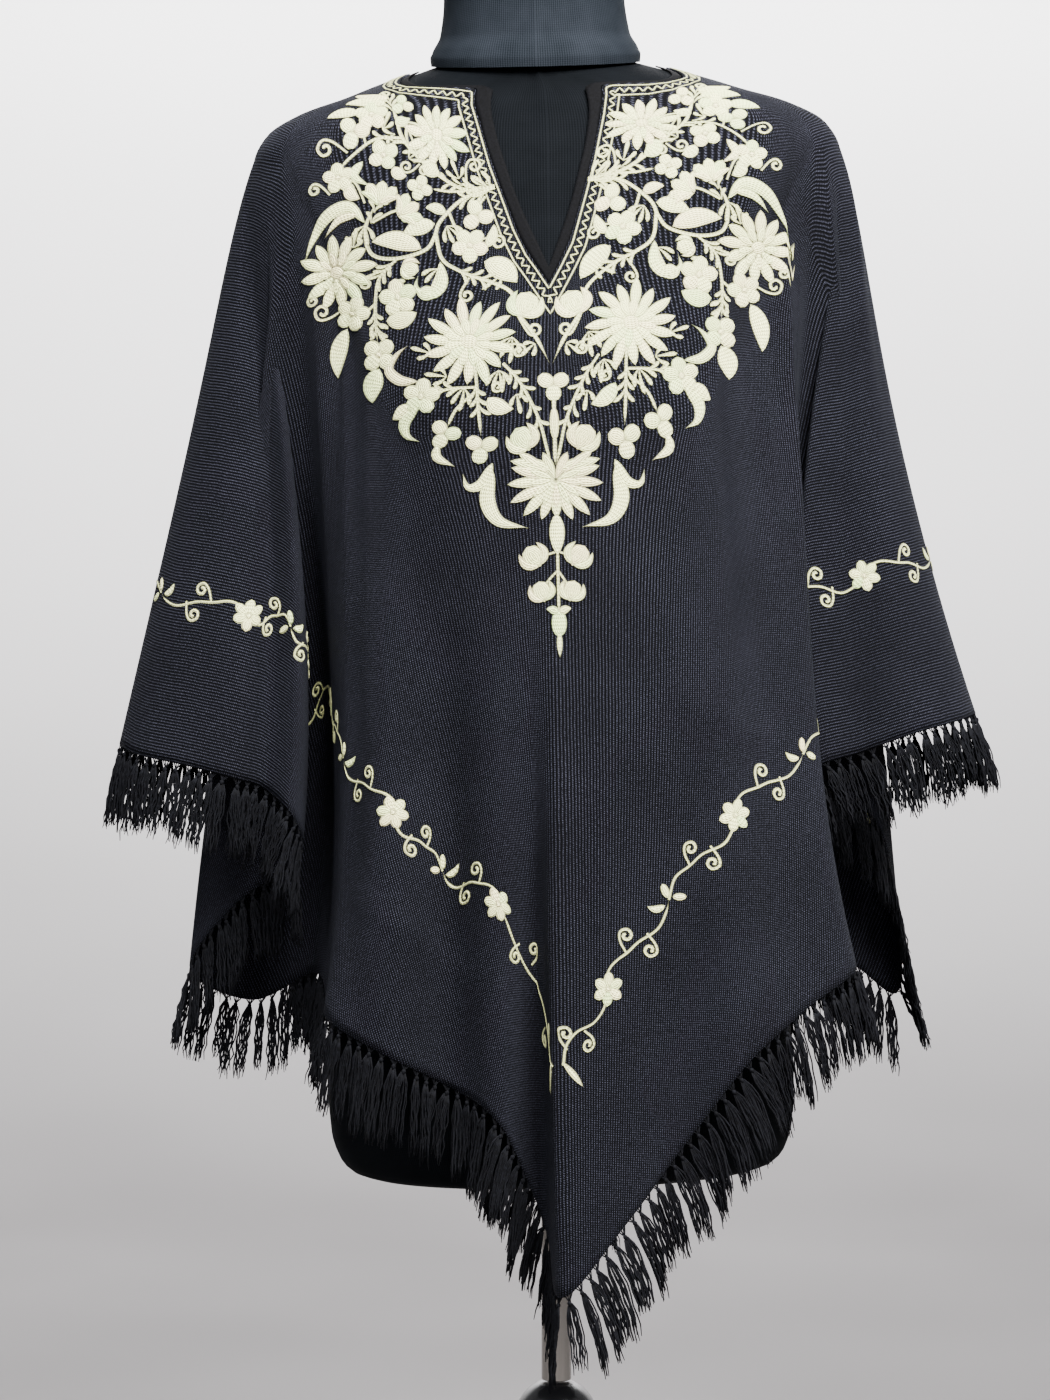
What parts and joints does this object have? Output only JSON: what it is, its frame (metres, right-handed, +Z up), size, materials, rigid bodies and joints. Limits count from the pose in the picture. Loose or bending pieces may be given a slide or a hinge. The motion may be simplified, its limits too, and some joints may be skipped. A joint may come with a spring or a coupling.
{
  "type": "poncho on a dress form",
  "caption": "Embroidered woollen poncho with a slit neck, pointed front and back and a knotted fringe, worn by a limbless dress form on a pole stand.",
  "frame": {"origin": "centre of the flat underside of the round base plate", "axes": "+Z up the pole; -Y out of the front of the garment, with the neck slit; +X to the left arm of someone who wears it, on the right of the picture"},
  "size_m": [0.5739, 0.3517, 1.5412],
  "materials": {
    "wool": "matte",
    "facing": "matte",
    "yarn": "matte",
    "jersey": "matte",
    "embroidery": "satin",
    "chrome": "polished",
    "plastic": "gloss",
    "enamel": "satin"
  },
  "bodies": {
    "root": {"front_panel": "wool", "back_panel": "wool", "neck_facing": "facing", "fringe_front_right": "yarn", "fringe_side_right": "yarn", "fringe_rear_right": "yarn", "fringe_rear_left": "yarn", "fringe_side_left": "yarn", "fringe_front_left": "yarn", "form_torso": "jersey", "form_neck": "jersey", "stand_pole": "chrome", "stand_collar": "plastic", "stand_tube": "chrome", "stand_base": "enamel"}
  },
  "joints": []
}
